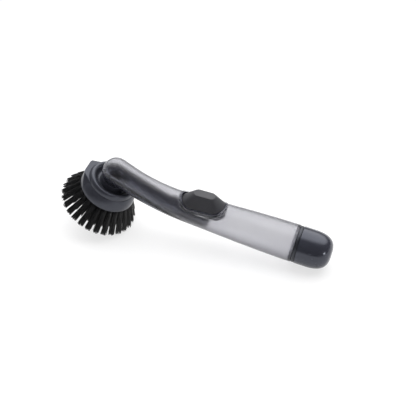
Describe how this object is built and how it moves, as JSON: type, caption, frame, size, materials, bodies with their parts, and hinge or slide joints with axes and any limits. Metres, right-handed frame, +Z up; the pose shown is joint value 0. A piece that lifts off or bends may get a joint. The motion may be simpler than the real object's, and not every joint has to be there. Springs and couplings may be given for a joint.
{
  "type": "soap-dispensing dish wand",
  "caption": "Dish wand with a clear soap reservoir handle, a push button, a screw cap and a round pull-off brush head with a scraper lip.",
  "frame": {"origin": "centre of the part's footprint, on the table it lies on", "axes": "+X from the brush head to the cap, +Z up from the table, +Y across the handle"},
  "size_m": [0.263, 0.0768, 0.0747],
  "materials": {
    "clear": "clear smoke-tinted gloss plastic",
    "dark_plastic": "satin charcoal plastic",
    "silicone": "matt charcoal silicone",
    "seal": "black seal rubber",
    "liner": "dark moulded plastic",
    "filament": "black nylon filament",
    "anchor": "flat drawn wire"
  },
  "bodies": {
    "handle": {"reservoir_shell": "clear", "neck_cover": "dark_plastic", "outlet_valve": "silicone", "valve_retainer": "liner", "spigot_o_ring": "seal", "button_retainer": "dark_plastic", "button_seal": "silicone"},
    "button": {"button": "silicone"},
    "seal_ring": {"cap_seal_ring": "seal"},
    "cap": {"cap_shell": "dark_plastic", "cap_liner": "liner", "mouth_gasket": "seal"},
    "brush_head": {"bristle_block": "dark_plastic", "head_cover": "dark_plastic", "tuft_anchors": "anchor", "tufts_outer": "filament", "tufts_second": "filament", "tufts_third": "filament", "tufts_inner": "filament"}
  },
  "joints": [
    {"name": "button_press", "type": "slide", "parent": "handle", "child": "button", "axis": [-0.1476, 0, -0.9891], "range_m": [0, 0.004], "stiffness_N_per_m": 1500},
    {"name": "cap_lift", "type": "slide", "parent": "handle", "child": "seal_ring", "axis": [0.9891, 0, -0.1476], "range_m": [0, 0.006]},
    {"name": "cap_turn", "type": "hinge", "parent": "seal_ring", "child": "cap", "pos_m": [0.1006, 0, 0.0195], "axis": [0.9891, 0, -0.1476], "range_deg": [0, 180]},
    {"name": "head_pull", "type": "slide", "parent": "handle", "child": "brush_head", "axis": [-0.4693, 0, -0.8831], "range_m": [0, 0.012]}
  ],
  "couplings": [
    {"joint": "cap_lift", "follows": "cap_turn", "m_per_rad": 0.0019099}
  ]
}
